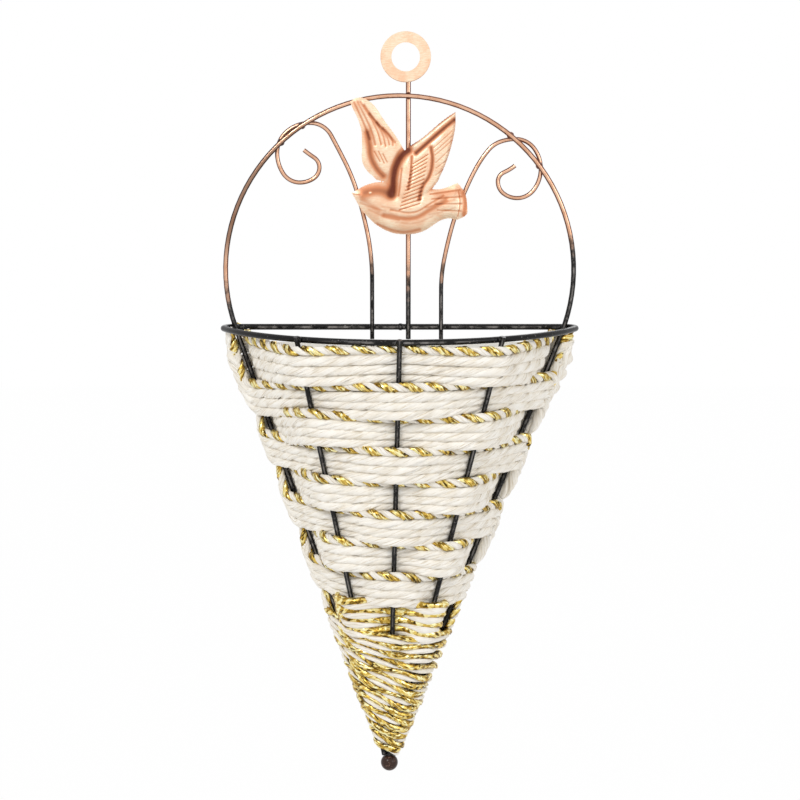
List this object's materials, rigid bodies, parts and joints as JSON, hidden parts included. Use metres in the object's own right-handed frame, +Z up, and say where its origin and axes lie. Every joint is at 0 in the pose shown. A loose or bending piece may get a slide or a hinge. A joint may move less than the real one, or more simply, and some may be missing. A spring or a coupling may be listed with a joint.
{
  "type": "hanging flower basket",
  "caption": "Half-cone wall basket for flowers: copper and black wire frame with scrolls and a pressed bird, woven with cream and gold cord, and a liner that lifts out.",
  "frame": {"origin": "centre of the hanging ring's hole, in the middle of its thickness", "axes": "+Z up; +Y towards the wall that the basket hangs on; +X to the right as seen from the front"},
  "size_m": [0.2158, 0.0878, 0.4538],
  "materials": {
    "copper_plate": "brushed copper with dark recesses",
    "patina_wire": "copper rubbed over black, black towards the lower ends",
    "black_wire": "gloss black, rubbed in places",
    "cream_cord": "matte twisted paper cord",
    "gold_cord": "paper cord with one crinkled gold foil ply",
    "liner_plastic": "pale, with a fine pebbled skin"
  },
  "bodies": {
    "basket": {"hanging_ring": "copper_plate", "bird_plate": "copper_plate", "hanger_stem": "patina_wire", "back_frame": "patina_wire", "scroll_left": "patina_wire", "scroll_right": "patina_wire", "rim_hoop": "black_wire", "rib_left": "black_wire", "rib_centre": "black_wire", "rib_right": "black_wire", "tip_ball": "black_wire", "weld_beads": "black_wire", "gold_cords_row_9": "gold_cord", "tip_winding": "gold_cord", "gold_cord_row_1": "gold_cord", "gold_cord_row_2": "gold_cord", "gold_cord_row_3": "gold_cord", "gold_cord_row_4": "gold_cord", "gold_cord_row_5": "gold_cord", "gold_cord_row_6": "gold_cord", "gold_cord_row_7": "gold_cord", "gold_cord_row_8": "gold_cord", "cream_cords_row_1": "cream_cord", "cream_cords_row_2": "cream_cord", "cream_cords_row_3": "cream_cord", "cream_cords_row_4": "cream_cord", "cream_cords_row_5": "cream_cord", "cream_cords_row_6": "cream_cord", "cream_cords_row_7": "cream_cord", "cream_cords_row_8": "cream_cord"},
    "liner": {"liner": "liner_plastic"}
  },
  "joints": [
    {"name": "liner_lift", "type": "slide", "parent": "basket", "child": "liner", "axis": [0, -0.2588, 0.9659], "range_m": [0, 0.16]}
  ]
}
